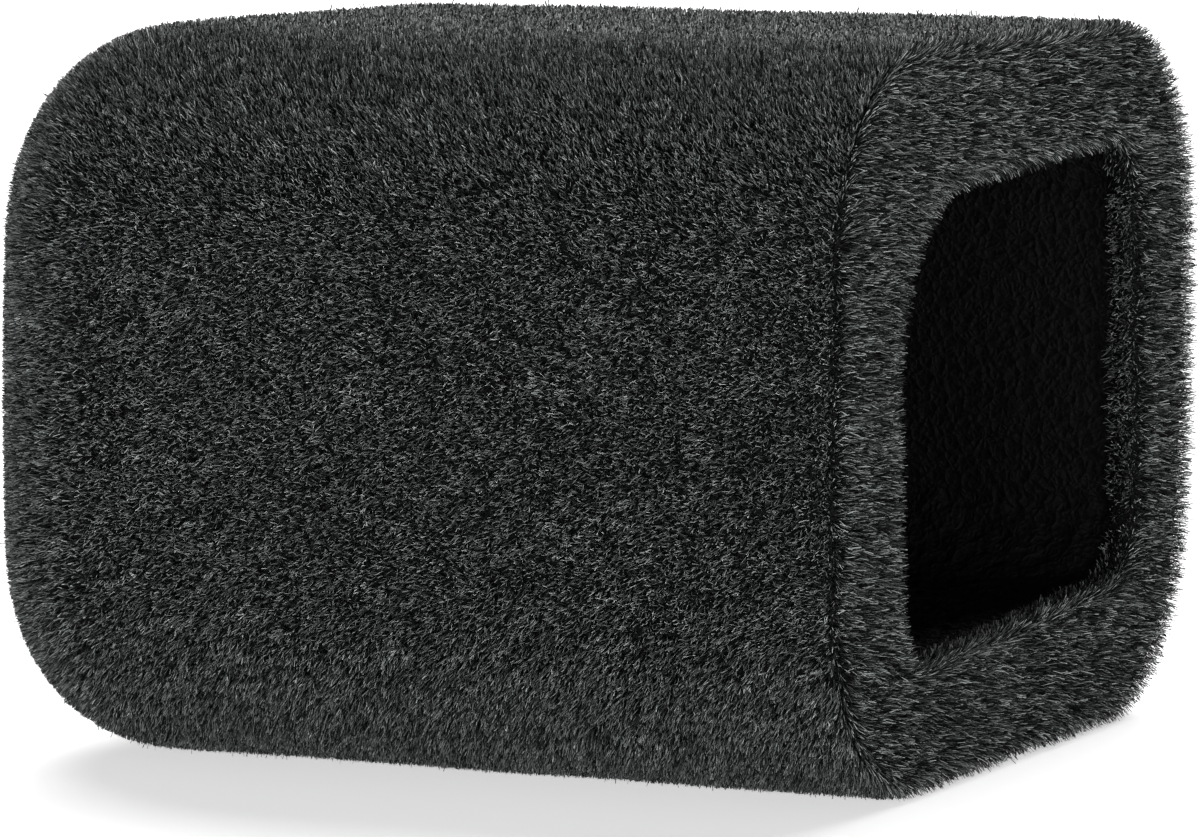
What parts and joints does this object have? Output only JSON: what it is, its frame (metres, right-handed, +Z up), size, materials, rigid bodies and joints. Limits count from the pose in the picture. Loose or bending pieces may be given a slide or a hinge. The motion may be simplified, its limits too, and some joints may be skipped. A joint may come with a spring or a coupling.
{
  "type": "furry windscreen",
  "caption": "Box-shaped slip-on windscreen: open-cell foam sleeve with a closed rounded back, an open rounded mouth and short dense black nylon pile all over.",
  "frame": {"origin": "middle of the windscreen in X and Y, on the surface that its underside rests on", "axes": "+Z up, the open mouth faces -Y, the closed back faces +Y, +X to the right when looking along +Y into the mouth"},
  "size_m": [0.117, 0.109, 0.084],
  "materials": {
    "foam": "matte",
    "contact_glue": "satin",
    "flock_adhesive": "satin",
    "pile": "matte"
  },
  "bodies": {
    "root": {"foam_sleeve": "foam", "foam_back_block": "foam", "back_bond_line": "contact_glue", "adhesive_coat": "flock_adhesive", "pile_right_side": "pile", "pile_top": "pile", "pile_left_side": "pile", "pile_underside": "pile", "pile_back": "pile", "pile_mouth_rim": "pile", "pile_mouth_return": "pile"}
  },
  "joints": []
}
